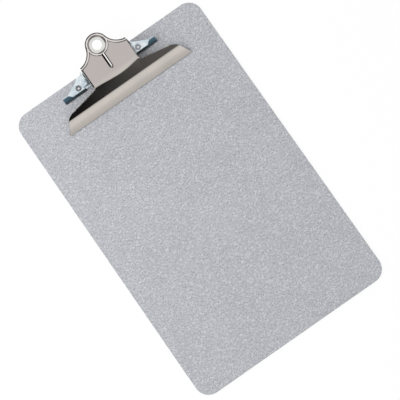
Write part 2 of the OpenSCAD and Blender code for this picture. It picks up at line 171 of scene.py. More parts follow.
def finish_of(name, build):
    """A material whose Principled inputs are what build(coordinates) returns, by input name."""
    made = bpy.data.materials.new(name)
    made.use_nodes = True
    tree = made.node_tree
    shader = tree.nodes["Principled BSDF"]
    for key, value in build(object_place(tree)).items():
        feed(tree, shader.inputs[key.replace("_", " ")], value)
    return made


def bump(height, millimetres, strength=1.0):
    """A normal from a height of 0 to 1 that stands for this many millimetres."""
    return height.node("Bump", Height=height, Distance=millimetres * MM, Strength=strength)


print("shader arithmetic ready")

# %% [markdown]
# ## The finishes
# The board is painted with a speckled grey enamel: fine dark and light flecks a millimetre or two long,
# lying over a slightly cloudy ground. The lever is bright nickel, a warm grey mirror with faint handling
# marks; the face of its plate is painted a darker warm grey, its dish and sides are painted pale, and its
# rib carries a painted highlight, all painted reflections. The base is zinc, which is bluer and less sharp;
# its two stops are painted dark, with a painted shade low down and a painted dark teal reflection higher
# up.
# The rivets are zinc too, with a painted dark reflection on their collars, a painted highlight in their
# hollows and the right collar painted paler. The springs are drawn wire, with streaks.
# Each finish is a formula in object coordinates, so it needs no unwrapping and stays fixed to the piece
# when the joint moves. Where a finish changes from place to place, the places are heights and distances.

# %% Enamel, nickel, zinc and wire
# the rivets' axes, a point on the face of the lever's plate, and the cosine and sine of its slope
RIVET_X, RIVET_Y = 37.9, 167.2
PLATE_Y, PLATE_Z = 152.7, 21.589
PLATE_COS, PLATE_SIN = 0.9681, 0.2504


def enamel(place):
    flecks = place.moved((1.0, 0.6, 1.0), (0, 0, 0.6)).noise(0.95, 3.0, 0.6)
    crossing = place.moved((0.6, 1.0, 1.0), (0, 0, -0.35)).noise(0.8, 2.0, 0.55)
    dark = flecks.ramp(0.51, 0.6)
    light = crossing.ramp(0.52, 0.61)
    cloud = place.noise(0.018, 3.0).ramp(0.3, 0.7)
    tint = place.noise(0.35, 1.0).ramp(0.35, 0.65)
    ground = cloud.blend((0.425, 0.43, 0.45, 1), (0.455, 0.46, 0.48, 1))
    tinted = (tint * 0.35).blend(ground, (0.40, 0.42, 0.475, 1))
    lighter = (light * 0.52).blend(tinted, (0.70, 0.705, 0.73, 1))
    colour = (dark * 0.68).blend(lighter, (0.20, 0.21, 0.24, 1))
    relief = crossing * 0.6 + flecks * 0.4
    return {
        "Base_Color": colour,
        "Roughness": 0.5 + light * 0.12,
        "Coat_Weight": 0.15,
        "Coat_Roughness": 0.3,
        "Normal": bump(relief, 0.12, 0.6),
    }


def nickel(place):
    smears = place.moved((1.0, 0.25, 1.0), (0, 0, 0.3)).noise(0.09, 4.0, 0.6).ramp(0.45, 0.75)
    grain = place.moved((6.0, 0.5, 1.0)).noise(0.5, 2.0)
    pits = place.cells(0.22).ramp(0.02, 0.07)
    worn = place.noise(0.04, 3.0).ramp(0.4, 0.7)
    bright = worn.blend((0.60, 0.555, 0.515, 1), (0.565, 0.525, 0.49, 1))
    y, z = (place.axis(k) / MM for k in (1, 2))
    # past the fold the face of the plate is painted a darker warm grey, a painted reflection tone
    on_plate = y.ramp(150.0, 158.0)
    plate_painted_darker = (on_plate * 0.9).blend(bright, (0.485, 0.445, 0.43, 1))
    # height over the lever plate's face, which slopes up from its fold
    over = (z - PLATE_Z) * PLATE_COS - (y - PLATE_Y) * PLATE_SIN
    # the dish and the sides are painted pale, a painted reflection, and are less sharp
    sunk = (1.0 - over.ramp(-0.75, -0.35)) * y.ramp(154.0, 156.0)
    pale = (sunk * 0.85).blend(plate_painted_darker, (0.80, 0.81, 0.79, 1))
    # a painted highlight runs along the rib's crest
    crest = over.ramp(0.6, 1.2) * on_plate
    crest_painted_highlight = crest.blend(pale, (0.93, 0.91, 0.89, 1))
    return {
        "Base_Color": pits.blend((0.34, 0.31, 0.28, 1), crest_painted_highlight),
        "Metallic": 1.0,
        "Roughness": 0.09 + smears * 0.07 + grain * 0.04 + sunk * 0.22,
        "Normal": bump(place.noise(0.05, 2.0), 0.02, 0.35),
    }


def zinc(place):
    cloud = place.noise(0.12, 4.0, 0.65).ramp(0.35, 0.7)
    spangle = place.cells(0.35, "SMOOTH_F1").ramp(0.1, 0.6)
    blue = (cloud * 0.75).blend((0.78, 0.845, 0.88, 1), (0.50, 0.62, 0.70, 1))
    x, y, z = (place.axis(k) / MM for k in (0, 1, 2))
    # the stops stand up in front of this line, and the ears with the pin behind it
    behind = y.ramp(164.0, 165.0)
    # the stops are painted dark, with less metal: a painted shade low down, and a painted dark teal
    # reflection higher up and towards their outer tips
    stops_painted_dark = z.ramp(3.35, 4.2) * (1.0 - behind)
    ears = z.ramp(3.0, 4.5) * behind
    tips = abs(x).ramp(42.0, 49.0)
    deep = tips.blend((0.015, 0.028, 0.036, 1), (0.03, 0.07, 0.095, 1))
    stop = (z.ramp(4.5, 7.5) * (tips * 0.75 + 0.25)).blend(deep, (0.085, 0.22, 0.32, 1))
    plain = (spangle * 0.25).blend(blue, (0.82, 0.87, 0.89, 1))
    return {
        "Base_Color": (stops_painted_dark * 0.9).blend(plain, stop),
        "Metallic": 1.0 - stops_painted_dark * 0.5 - ears * 0.7,
        "Roughness": 0.33 + cloud * 0.14,
        "Normal": bump(place.noise(0.4, 2.0), 0.03, 0.4),
    }


def rivet_zinc(place):
    """Zinc with a painted dark reflection on the collar and a painted highlight in the hollow. The right
    collar is painted paler.
    """
    x, y, z = (place.axis(k) / MM for k in (0, 1, 2))
    from_axis = ((abs(x) - RIVET_X) ** 2.0 + (y - RIVET_Y) ** 2.0) ** 0.5
    outside = from_axis.ramp(1.2, 1.7).math("MAXIMUM", z < 2.0)
    scuffs = place.noise(0.9, 3.0).ramp(0.35, 0.65)
    # the collars are painted dark, a painted reflection, with scuffs; the right collar is painted paler, a
    # painted highlight
    collar_painted_dark = scuffs.blend((0.24, 0.235, 0.25, 1), (0.36, 0.36, 0.38, 1))
    collar = ((x > 0.0) * (z > 2.0) * 0.55).blend(collar_painted_dark, (0.66, 0.69, 0.72, 1))
    # the hollow is painted bright, a painted highlight
    return {
        "Base_Color": outside.blend((0.72, 0.74, 0.76, 1), collar),
        "Metallic": 1.0,
        "Roughness": 0.35 + scuffs * 0.15,
        "Normal": bump(scuffs, 0.03, 0.4),
    }


def wire_steel(place):
    streaks = place.moved((0.3, 3.0, 3.0)).noise(0.8, 3.0).ramp(0.3, 0.7)
    return {
        "Base_Color": streaks.blend((0.30, 0.30, 0.32, 1), (0.52, 0.52, 0.53, 1)),
        "Metallic": 1.0,
        "Roughness": 0.28 + streaks * 0.15,
        "Normal": bump(streaks, 0.02, 0.3),
    }


finishes = {
    "board_enamel": finish_of("board_enamel", enamel),
    "nickel_plate": finish_of("nickel_plate", nickel),
    "zinc_plate": finish_of("zinc_plate", zinc),
    "rivet_zinc": finish_of("rivet_zinc", rivet_zinc),
    "spring_steel": finish_of("spring_steel", wire_steel),
}
print("finishes:", ", ".join(finishes))


# %% [markdown]
# ## From arrays to meshes
# Every new piece is a surface: an array of points with one row per step of one parameter and one column per
# step of the other. Several such grids can share edges; their points are then merged, which closes the
# seams. The alternative, modelling by hand from boxes, gives no formula to check against.

# %% Grids, revolved profiles and swept wires
def quads_of(rows, columns, wrap_rows=False, wrap_columns=False):
    """Corner numbers of the cells of a rows x columns grid, as an (n, 4) array."""
    i = np.arange(rows if wrap_rows else rows - 1)[:, None]
    j = np.arange(columns if wrap_columns else columns - 1)[None, :]
    i2, j2 = (i + 1) % rows, (j + 1) % columns
    corners = [i * columns + j, i2 * columns + j, i2 * columns + j2, i * columns + j2]
    return np.stack([np.broadcast_to(c, (i.size, j.size)) for c in corners], -1).reshape(-1, 4)


def piece(name, grids, slot_name, body, node_names, merge=1e-3, fans=(), finish=None, flex=None):
    """One object from grids (points (r, c, 3) in mm, wrap_rows, wrap_columns), its seams merged.

    fans are rings of points, each closed by a cap round its middle. With flex, a start and an end in mm,
    the piece is left without a body and its transform is baked in; the two points are not used."""
    points, faces, start = [], [], 0
    for array, wrap_rows, wrap_columns in grids:
        rows, columns = array.shape[:2]
        points.append(array.reshape(-1, 3))
        faces += (quads_of(rows, columns, wrap_rows, wrap_columns) + start).tolist()
        start += rows * columns
    for ring in fans:
        points += [ring, ring.mean(0, keepdims=True)]
        count = len(ring)
        around = np.arange(count)
        faces += np.stack([start + around, start + (around + 1) % count,
                           np.full(count, start + count)], -1).tolist()
        start += count + 1
    mesh = bpy.data.meshes.new(name)
    mesh.from_pydata((np.concatenate(points) * MM).tolist(), [], faces)
    shape = bmesh.new()
    shape.from_mesh(mesh)
    bmesh.ops.remove_doubles(shape, verts=shape.verts, dist=merge * MM)
    bmesh.ops.dissolve_degenerate(shape, edges=shape.edges, dist=merge * MM)
    bmesh.ops.recalc_face_normals(shape, faces=shape.faces)
    top = max(shape.faces, key=lambda face: face.calc_center_median().z)
    if top.normal.z < 0:
        bmesh.ops.reverse_faces(shape, faces=shape.faces)
    shape.edges.index_update()
    outline = [edge.index for edge in shape.edges if edge.is_boundary]
    shape.to_mesh(mesh)
    shape.free()
    mesh.polygons.foreach_set("use_smooth", [True] * len(mesh.polygons))
    mesh.set_sharp_from_angle(angle=np.radians(40))
    for k in outline:
        mesh.edges[k].use_edge_sharp = True
    mesh.materials.append(finishes[finish or slot_name])
    made = bpy.data.objects.new(name, mesh)
    bpy.context.scene.collection.objects.link(made)
    if flex is None:
        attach(made, body)
    else:
        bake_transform(made)
    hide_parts(*node_names)
    print(f"{name}: {len(mesh.vertices)} points, {len(mesh.polygons)} faces")
    return made


def arc(centre, radius, start, end, count):
    """Points centre + radius (cos a, sin a) for a from start to end in degrees, as a (count, 2) array."""
    a = np.radians(np.linspace(start, end, count))
    return np.asarray(centre) + radius * np.stack([np.cos(a), np.sin(a)], -1)


def revolved(profile, count=72):
    """P(t, p) = (r cos t, r sin t, h) for a profile of (r, h) points, one row per profile point."""
    t = np.linspace(0, 2 * np.pi, count, endpoint=False)
    r, h = profile[:, :1], profile[:, 1:]
    return np.stack([r * np.cos(t), r * np.sin(t), h + 0 * t], -1)


def swept(path, radius, count=20, guide=(1.0, 0.0, 0.0)):
    """P(i, t) = path_i + radius (a_i cos t + b_i sin t), with a and b square to the path."""
    along = np.gradient(path, axis=0)
    along /= np.linalg.norm(along, axis=1, keepdims=True)
    a = np.asarray(guide) - along * (along @ np.asarray(guide))[:, None]
    a /= np.linalg.norm(a, axis=1, keepdims=True)
    b = np.cross(along, a)
    t = np.linspace(0, 2 * np.pi, count, endpoint=False)[None, :, None]
    return path[:, None] + radius * (a[:, None] * np.cos(t) + b[:, None] * np.sin(t))


print("surface tools ready")

# %% [markdown]
# ## The lever's sizes
# The lever is one pressed sheet. Seen from the side its face runs, from the paper edge up: an arched lip, a
# tight hollow, a straight riser, a fold, and then the flat plate that fingers push. The same few lengths
# and angles fix all of it, so the section is a chain of tangent arcs. Names that end in ROWS or in COLUMNS
# are counts of points; grids that share an edge take them from here, so that their points meet.

# %% Section of the lever
CLIP = np.array([0.0, 178.0, 2.0])
SHIFT, SLOPE, SHEET = 4.0, 14.5, 1.1
HALF, BEND = 28.4, 2.0
FOLD_BACK, RISER_RUN, RISER_ANGLE = 25.3, 10.5, 53.3
LIP_RUN, LIP_START, LIP_END = 12.3, 8.0, 34.0
FOLD_R, FOOT_R = 4.0, 4.0
JAW_HALF, TAPER, KNEE_IN, KNEE_H, ROOT_H = 77.0, 7.0, 10.0, 5.6, 11.9
TIP, TIP_R, CURL, CREST, CROWN = 35.8, 12.6, 2.0, 1.0, 3.6
SHOULDER_X, SHOULDER_S, SHOULDER_R, TANGENT = 30.0, 44.042, 18.512, 15.363
HOLE_R, DISH = 5.5, 0.9
RIB_REACH, RIB_HALF, RIB_RISE = 13.0, 2.8, 1.7
BULGE, BULGE_DEPTH, SPLAY, SPLAY_DEPTH = 2.4, 14.0, 1.4, 13.0
PIN_S, PIN_N, BOSS_R, PIN_R, BORE_GAP = 13.973, -15.067, 4.2, 2.0, 0.14
JAW_GAP, FLARE_TOP, SIDE_FALL = 0.3, 0.3, 1.4
LIP_ROWS, FOOT_ROWS, RISER_ROWS, TOP_ROWS, FOLD_ROWS = 21, 10, 17, 2, 13
CORE_COLUMNS, BEND_COLUMNS, WING_COLUMNS = 141, 7, 56
SIDE_ROWS, SHOULDER_ROWS, PLATE_ROWS = 36, 40, 56


def cosd(a): return np.cos(np.radians(a))
def sind(a): return np.sin(np.radians(a))
def tand(a): return np.tan(np.radians(a))


# in the section, the way along a face that slopes by d degrees, and the way out of it
def ahead(d): return np.array([-cosd(d), -sind(d)])
def outward(d): return np.array([-sind(d), cosd(d)])


foot_tangent = FOOT_R * tand((RISER_ANGLE - LIP_START) / 2)
lip_r = (LIP_RUN - foot_tangent * cosd(LIP_START)) / (sind(LIP_END) - sind(LIP_START))
foot_h = (JAW_GAP + SHEET * cosd(LIP_END) + lip_r * (cosd(LIP_START) - cosd(LIP_END))
          + foot_tangent * sind(LIP_START))
fold_h = foot_h + RISER_RUN * tand(RISER_ANGLE)
fold_tangent = FOLD_R * tand((RISER_ANGLE - SLOPE) / 2)
foot_corner = np.array([-FOLD_BACK - RISER_RUN, foot_h])
fold_corner = np.array([-FOLD_BACK, fold_h])
riser_top = fold_corner + fold_tangent * ahead(RISER_ANGLE)
riser_bottom = foot_corner - foot_tangent * ahead(RISER_ANGLE)
lip_top = foot_corner + foot_tangent * ahead(LIP_START)
root_z = foot_h + ROOT_H
riser = riser_top - riser_bottom
root = riser_bottom + riser * (root_z - riser_bottom[1]) / riser[1]
section = np.concatenate([
    arc(lip_top - lip_r * outward(LIP_START), lip_r,
        90 + LIP_END, 90 + LIP_START, LIP_ROWS + 1)[:-1],
    arc(riser_bottom + FOOT_R * outward(RISER_ANGLE), FOOT_R,
        270 + LIP_START, 270 + RISER_ANGLE, FOOT_ROWS + 1)[:-1],
    np.linspace(riser_bottom, root, RISER_ROWS),
    np.linspace(root, riser_top, TOP_ROWS + 2)[1:-1],
    arc(riser_top - FOLD_R * outward(RISER_ANGLE), FOLD_R,
        90 + RISER_ANGLE, 90 + SLOPE, FOLD_ROWS),
])
WING_ROWS = LIP_ROWS + FOOT_ROWS + RISER_ROWS
print(f"fold height {fold_h:.3f}, foot height {foot_h:.3f}, lip radius {lip_r:.3f}")

# %% [markdown]
# ## The lever's sheet
# Grids that share their edges make up the sheet. The jaw follows the section, and its outermost two
# millimetres turn down more and more through the fold, so that they meet the plate's side bends. The wings
# spread from the riser, as wide as the front outline allows at each height. The plate is ruled between the
# ring of the dish and the outline, and a rib is raised in it as a height over the distance to a line. The
# side bends and the flanges, each ruled between the pin's bore and its own outline, complete the sheet. It
# gets its thickness from a Solidify modifier, which would hide a seam that doesn't meet behind a rim: only
# the outline and the two bores may be open before it.

# %% Sheet of the lever
def to_part(x, s, n):
    """From the lever plate's frame (x, s towards the tip, n out of its face) to the part's frame."""
    y = -FOLD_BACK + s * cosd(SLOPE) - n * sind(SLOPE)
    z = fold_h + s * sind(SLOPE) + n * cosd(SLOPE)
    return np.stack(np.broadcast_arrays(x + SHIFT, y, z), -1) + CLIP


def jaw_half_at(y, z):
    """Half the jaw's width where its face is at (y, z): a sloping wing, a rounded end, then the flare."""
    inner = JAW_HALF - TAPER
    knee_x, knee_z = inner - KNEE_IN, foot_h + KNEE_H
    fall = np.arctan2(root_z - knee_z, knee_x - HALF)
    chord = np.array([inner - knee_x, foot_h - knee_z])
    half_turn = np.arctan2(-chord[1], chord[0]) - fall
    r = np.hypot(*chord) / (2 * np.sin(half_turn))
    cx, cz = knee_x - r * np.sin(fall), knee_z - r * np.cos(fall)
    slope = HALF + (root_z - z) * (knee_x - HALF) / (root_z - knee_z)
    rounded = cx + np.sqrt(np.maximum(r * r - (z - cz) ** 2, 0))
    front = np.where(z > root_z, HALF, np.where(z > knee_z, slope, rounded))
    flare = inner + TAPER * np.clip(-FOLD_BACK - RISER_RUN - y, 0, None) / LIP_RUN
    return np.where(z < foot_h + FLARE_TOP, flare, np.minimum(front, inner))


def bulged(points):
    """Points moved down the plate's slope round the fold, which bows out between its two corners.

    The side bends start at HALF - BEND and do not move, so the push has to be nothing there."""
    x, y = points[..., 0] - SHIFT, points[..., 1] - CLIP[1]
    inner = HALF - BEND
    t = np.clip((x + inner) / (2 * inner), 0, 1)
    on_riser = y < -FOLD_BACK
    near = np.clip(1 - np.abs(y + FOLD_BACK) / np.where(on_riser, RISER_RUN - 1.0, BULGE_DEPTH), 0, 1)
    eased = np.where(on_riser, near, near * near * (3 - 2 * near))
    push = BULGE * np.sin(np.pi * t ** 1.25) ** 1.2 * eased
    return points + push[..., None] * np.array([0.0, -cosd(SLOPE), -sind(SLOPE)])


def splay(n):
    """How far the flanges lean out at the height n, which is below 0 under the plate's face."""
    return SPLAY * np.clip((-n - BEND) / SPLAY_DEPTH, 0, 1.3)


def side_bend(turned):
    """(x, n) over the side bend for the share q of it, bent by turned: sin and 1 - cos of q turned."""
    q = np.linspace(0, 1, BEND_COLUMNS)[None, :]
    turned = np.maximum(np.radians(turned), 1e-4)[:, None]
    x = HALF - BEND + BEND * np.sin(q * turned) / np.sin(turned)
    return x, -BEND * (1 - np.cos(q * turned)) * turned / (np.pi / 2)


def jaw_grids():
    """The section run across the core, then at each side its bend and the wing beyond it."""
    rows = len(section)
    y, z = section[:, :1], section[:, 1:]
    x = np.linspace(-1, 1, CORE_COLUMNS)[None, :] * (HALF - BEND)
    core = np.stack(np.broadcast_arrays(x + SHIFT, y, z), -1) + CLIP
    turned, face = np.zeros(rows), np.full(rows, RISER_ANGLE)
    turned[-FOLD_ROWS:] = np.linspace(0, 90, FOLD_ROWS)
    face[-FOLD_ROWS:] = np.linspace(RISER_ANGLE, SLOPE, FOLD_ROWS)
    bx, bn = side_bend(turned)
    out = outward(face).T
    by, bz = y + bn * out[:, :1], z + bn * out[:, 1:]
    half = jaw_half_at(section[:, 0], section[:, 1])[:WING_ROWS]
    half[-1] = HALF
    wx = HALF + np.linspace(0, 1, WING_COLUMNS)[None, :] * (half[:, None] - HALF)
    wy, wz = y[:WING_ROWS] + 0 * wx, z[:WING_ROWS] + 0 * wx
    grids = [core]
    for side in (-1, 1):
        grids.append(np.stack([side * bx + SHIFT + 0 * by, by, bz], -1) + CLIP)
        grids.append(np.stack([side * wx + SHIFT, wy, wz], -1) + CLIP)
    return grids


def rib_height(x, s):
    """A round-ended rib: a raised cosine over the distance to its middle line."""
    first, last = TIP - TIP_R - RIB_REACH, TIP - TIP_R + 2
    d = np.hypot(x, s - np.clip(s, first, last))
    return RIB_RISE / 2 * (1 + np.cos(np.pi * np.clip(d / RIB_HALF, 0, 1)))


# the middle lines of the ring and of the shoulders' rolls, on which the plate ends
ring_mid = TIP_R - CURL
middle_r = SHOULDER_R + CURL
# the points down the plate's side, from the shoulder to the fold
side_top = SHOULDER_S - np.sqrt(middle_r ** 2 - (SHOULDER_X - HALF + BEND) ** 2)
side_s = np.linspace(side_top, fold_tangent, SIDE_ROWS)


def plate_grid():
    """P(v, t) = (1 - v) inner(t) + v outer(t): from the ring's middle line to the plate's outline."""
    last = 270 - np.degrees(np.arcsin((SHOULDER_X - HALF + BEND) / middle_r))
    shoulder = arc((SHOULDER_X, SHOULDER_S), middle_r, 180 + TANGENT, last, SHOULDER_ROWS)
    side = np.stack([np.full(SIDE_ROWS, HALF - BEND), side_s], -1)
    bottom = np.stack([np.linspace(1, -1, CORE_COLUMNS) * (HALF - BEND),
                       np.full(CORE_COLUMNS, fold_tangent)], -1)
    right = np.concatenate([shoulder[:-1], side[:-1]])
    outer = np.concatenate([right, bottom, right[::-1] * (-1, 1)])
    angles = np.concatenate([
        np.linspace(TANGENT, -50, SHOULDER_ROWS - 1, endpoint=False),
        np.linspace(-50, -65, SIDE_ROWS - 1, endpoint=False),
        np.linspace(-65, -115, CORE_COLUMNS),
        np.linspace(-115, -130, SIDE_ROWS)[1:],
        np.linspace(-130, -180 - TANGENT, SHOULDER_ROWS)[1:],
    ])
    inner = np.stack([ring_mid * cosd(angles), TIP + ring_mid * sind(angles)], -1)
    v = np.linspace(0, 1, PLATE_ROWS)[:, None, None]
    flat = (1 - v) * inner + v * outer
    x, s = flat[..., 0], flat[..., 1]
    return to_part(x, s, rib_height(x, s))


def flange_grids(side):
    """The side bend with a short straight fall, and the flange ruled from the pin's bore to its outline."""
    bx, bn = side_bend(np.full(1, 90.0))
    low = -BEND - SIDE_FALL
    bx = np.append(bx[0], HALF)
    bn = np.append(bn[0], low)
    bend = to_part(side * (bx + splay(bn))[None, :], side_s[:, None], bn[None, :])
    pin = np.array([PIN_S, PIN_N])

    def touch(p, sign):
        """The angle about the pin at which the line from p touches the boss."""
        d = pin - p
        a = np.degrees(np.arctan2(d[1], d[0])) + sign * np.degrees(np.arcsin(BOSS_R / np.hypot(*d)))
        q = p + np.sqrt(d @ d - BOSS_R ** 2) * np.array([cosd(a), sind(a)]) - pin
        return np.degrees(np.arctan2(q[1], q[0]))

    near, far = np.array([side_s[-1], low]), np.array([side_s[0], low])
    a_near, a_far = touch(near, -1), touch(far, 1)
    boss = arc(pin, BOSS_R, a_near, a_far if a_far > a_near else a_far + 360, 40)
    outline = np.concatenate([
        np.stack([side_s, np.full(SIDE_ROWS, low)], -1)[:-1],
        np.linspace(near, boss[0], 8)[:-1], boss[:-1], np.linspace(boss[-1], far, 8)[:-1],
    ])
    ray = outline - pin
    # the splayed flange leans by 6 degrees, so its bore drifts 0.12 mm over the sheet's thickness
    bore = pin + (PIN_R + BORE_GAP) * ray / np.linalg.norm(ray, axis=1, keepdims=True)
    v = np.linspace(0, 1, 6)[:, None, None]
    flat = (1 - v) * bore + v * outline
    web = to_part(side * (HALF + splay(flat[..., 1])), flat[..., 0], flat[..., 1])
    return [(bend, False, False), (web, False, True)]


front = [(bulged(points), False, False) for points in jaw_grids() + [plate_grid()]]
sheet = piece("lever_sheet", front + flange_grids(-1) + flange_grids(1),
              "nickel_plate", "lever", ["clip_lever"])
# Solidify adds real thickness behind the face. The outline stays sharp, as a sheared edge is: a Bevel
# would bite notches into the ends of the jaw, where the grids' lines run close together.
solid = sheet.modifiers.new("thickness", "SOLIDIFY")
solid.thickness, solid.offset = SHEET * MM, -1.0

# %% [markdown]
# ## The curled edge and the dish
# A thin edge would cut the fingers, so the sheet is rolled over at its shoulders and round the tip. There
# the roll runs on in a full ring about a shallow dish with the hole for a nail. The ring and dish are one
# closed profile turned about the ring's axis; each shoulder's roll is a circle swept along an arc.

# %% Ring, dish and curls
WALL_IN, HOLE_EDGE = 7.8, 0.25
roll_n = CREST - CROWN
under_n = -DISH - SHEET


def rolled(rise):
    """Heights over a roll's middle: stretched above it to stand CROWN high, and halved below it."""
    return rise * np.where(rise > 0, CROWN / CURL, 0.5)


u = np.linspace(0, 1, 18)
wall = np.stack([WALL_IN + (ring_mid - WALL_IN) * u,
                 -DISH + (CREST + DISH) * (1 - np.cos(np.pi * u)) / 2], -1)
roll = arc((ring_mid, 0), CURL, 90, -140, 34)[1:]
profile = np.concatenate([
    [[HOLE_R + HOLE_EDGE, -DISH]],
    np.stack([np.linspace(HOLE_R + 1, 7.5, 5), np.full(5, -DISH)], -1),
    wall,
    np.stack([roll[:, 0], roll_n + rolled(roll[:, 1])], -1),
    np.stack([np.linspace(9.2, HOLE_R + 0.3, 5), np.full(5, under_n)], -1),
    arc((HOLE_R + HOLE_EDGE, under_n + HOLE_EDGE), HOLE_EDGE, 270, 180, 4),
    arc((HOLE_R + HOLE_EDGE, -DISH - HOLE_EDGE), HOLE_EDGE, 180, 90, 4)[:-1],
])
turned = revolved(profile, 96)
ring = to_part(turned[..., 0], turned[..., 1] + TIP, turned[..., 2])
piece("lever_ring", [(ring, True, True)], "nickel_plate", "lever", ["clip_lever"])

# each roll starts 3 degrees inside the ring and is a little thinner, so that its end is hidden in it
last_angle = 270 - np.degrees(np.arcsin((SHOULDER_X - HALF) / SHOULDER_R))
for side, name in ((-1, "left"), (1, "right")):
    line = arc((SHOULDER_X, SHOULDER_S), middle_r, 180 + TANGENT - 3, last_angle, 48)
    flat = np.stack([side * line[:, 0], line[:, 1], 0 * line[:, 0]], -1)
    tube = swept(flat, CURL - 0.02, 32, (0.0, 0.0, 1.0))
    tube = to_part(tube[..., 0], tube[..., 1], roll_n + rolled(tube[..., 2]))
    piece("lever_curl_" + name, [(tube, False, True)], "nickel_plate", "lever", ["clip_lever"],
          fans=[tube[0], tube[-1]])

# %% [markdown]
# ## The springs
# Each torsion spring is four turns of wire round the pin. One leg presses up under the lever and the other
# stands on the base. The wire is a circle swept along the helix and its two straight legs. The upper leg
# has to follow the lever when it opens while the coils stay on the pin; a rigid spring would pass through
# the lever. Each spring is left here without a body, its transform baked in.

# %% Springs
WIRE, PITCH, COIL_R, TURNS = 1.5, 2.1, 3.35, 4
PIN_BACK, PIN_H, SPRING_IN = 8.0, 8.5, 7.2
BASE_T, UPPER, LOWER, LEG_GAP = 1.2, 74.0, 30.0, 0.1
BEND_FROM, BEND_TO = 3.5, 10.0


def spring_path():
    """A helix y = r cos a, z = r sin a, x = x0 + pitch a / 360, with a straight leg at each end."""
    first = 90 + UPPER
    a = np.linspace(first, 360 * TURNS + 270 - LOWER, 220)
    helix = np.stack([SPRING_IN + PITCH * (a - first) / 360,
                      -PIN_BACK + COIL_R * cosd(a), PIN_H + COIL_R * sind(a)], -1)
    rise, out = np.array([cosd(UPPER), sind(UPPER)]), outward(SLOPE)
    under = fold_corner - (SHEET + WIRE / 2 + LEG_GAP) * out
    k = (out @ (under - helix[0, 1:])) / (out @ rise)
    corner = helix[0, 1:] + k * rise
    plate_way = np.array([cosd(SLOPE), sind(SLOPE)])
    leg = [np.r_[SPRING_IN, corner + d] for d in (2.4 * plate_way, 0.75 * plate_way,
                                                  0.3 * (plate_way - rise), -0.75 * rise)]
    floor_z = BASE_T + WIRE / 2 + LEG_GAP
    floor_y = helix[-1, 1] + (helix[-1, 2] - floor_z) / tand(LOWER)
    x = helix[-1, 0]
    foot = [[x, floor_y - 0.65, floor_z + 0.375], [x, floor_y + 0.05, floor_z + 0.08],
            [x, floor_y + 0.75, floor_z], [x, floor_y + 2.4, floor_z]]
    return np.concatenate([leg, helix, foot])


pin_at = np.array([0.0, -PIN_BACK, PIN_H]) + CLIP
leg_way = np.array([0.0, cosd(UPPER), sind(UPPER)])
leg_bends = [pin_at + BEND_FROM * leg_way, pin_at + BEND_TO * leg_way]
for side, name in ((-1, "spring_left"), (1, "spring_right")):
    tube = swept(spring_path(), WIRE / 2, 16) * (side, 1, 1) + CLIP
    piece(name + "_wire", [(tube, False, True)], "spring_steel", "board_and_base", [name],
          fans=[tube[0], tube[-1]], flex=leg_bends)

# %% [markdown]
# ## The pin and the rivets
# Both are turned shapes. The pin has a head at one end and is rolled over at the other. A tubular rivet
# has a flat head under the board and a hollow end that a punch has spread over the base in a round collar.

# %% Pin and rivets
pin_low, pin_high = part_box("hinge_pin")
pin_from, pin_to = pin_low.x / MM, pin_high.x / MM
profile = np.array([[0, pin_from], [2.6, pin_from], [3.1, pin_from + 0.35], [3.2, pin_from + 0.8],
                    [3.15, pin_from + 1.2], [2.02, pin_from + 1.2], [2.0, pin_from + 1.4],
                    [2.0, pin_to - 0.5], [1.85, pin_to - 0.2], [1.5, pin_to], [0, pin_to]])
turned = revolved(profile, 48)
pin = np.stack([turned[..., 2], turned[..., 0] - PIN_BACK, turned[..., 1] + PIN_H], -1)
pin += CLIP * (0, 1, 1)
piece("pin_shank", [(pin, False, True)], "zinc_plate", "board_and_base", ["hinge_pin"])

profile = np.concatenate([
    [[0, 0.05], [4.3, 0.05]],
    arc((4.3, 0.35), 0.3, 270, 360, 4),
    arc((4.3, 0.55), 0.3, 0, 90, 4),
    [[2.4, 0.85], [2.4, 3.2], [3.0, 3.2]],
    arc((2.35, 3.25), 0.85, 0, 180, 18),
    [[1.5, 3.1], [1.5, 2.7], [1.3, 2.5], [0, 2.45]],
])
for side, name in ((-1, "left"), (1, "right")):
    turned = revolved(profile, 48) + np.array([side * RIVET_X, RIVET_Y, 0])
    piece("rivet_" + name, [(turned, False, True)], "zinc_plate", "board_and_base", ["rivets"],
          finish="rivet_zinc")

# %% [markdown]
# ## The board and the base
# Their exact shapes are right as they are. The triangles of each are loose, so each piece is a merged copy,
# with the curved parts shaded smooth, and takes its finish from the formula above.

# %% Smooth copies of the board and the base
def steady_normals(mesh, limit=35.0):
    """Corner normals averaged over the faces round a point that turn by less than limit, by their area.

    Large flat faces then keep their own normal, and only the narrow facets of a bend are blended."""
    count = len(mesh.polygons)
    normal, area = np.empty(count * 3), np.empty(count)
    mesh.polygons.foreach_get("normal", normal)
    mesh.polygons.foreach_get("area", area)
    normal = normal.reshape(-1, 3)
    corners = np.empty(len(mesh.loops), int)
    mesh.loops.foreach_get("vertex_index", corners)
    owner = np.repeat(np.arange(count), 3)
    around = [[] for _ in mesh.vertices]
    for corner, face in zip(corners, owner):
        around[corner].append(face)
    result = np.empty((len(corners), 3))
    for k, (corner, face) in enumerate(zip(corners, owner)):
        near = np.array(around[corner])
        near = near[normal[near] @ normal[face] > np.cos(np.radians(limit))]
        result[k] = (normal[near] * area[near, None]).sum(0)
    result /= np.linalg.norm(result, axis=1, keepdims=True)
    mesh.normals_split_custom_set(result.tolist())


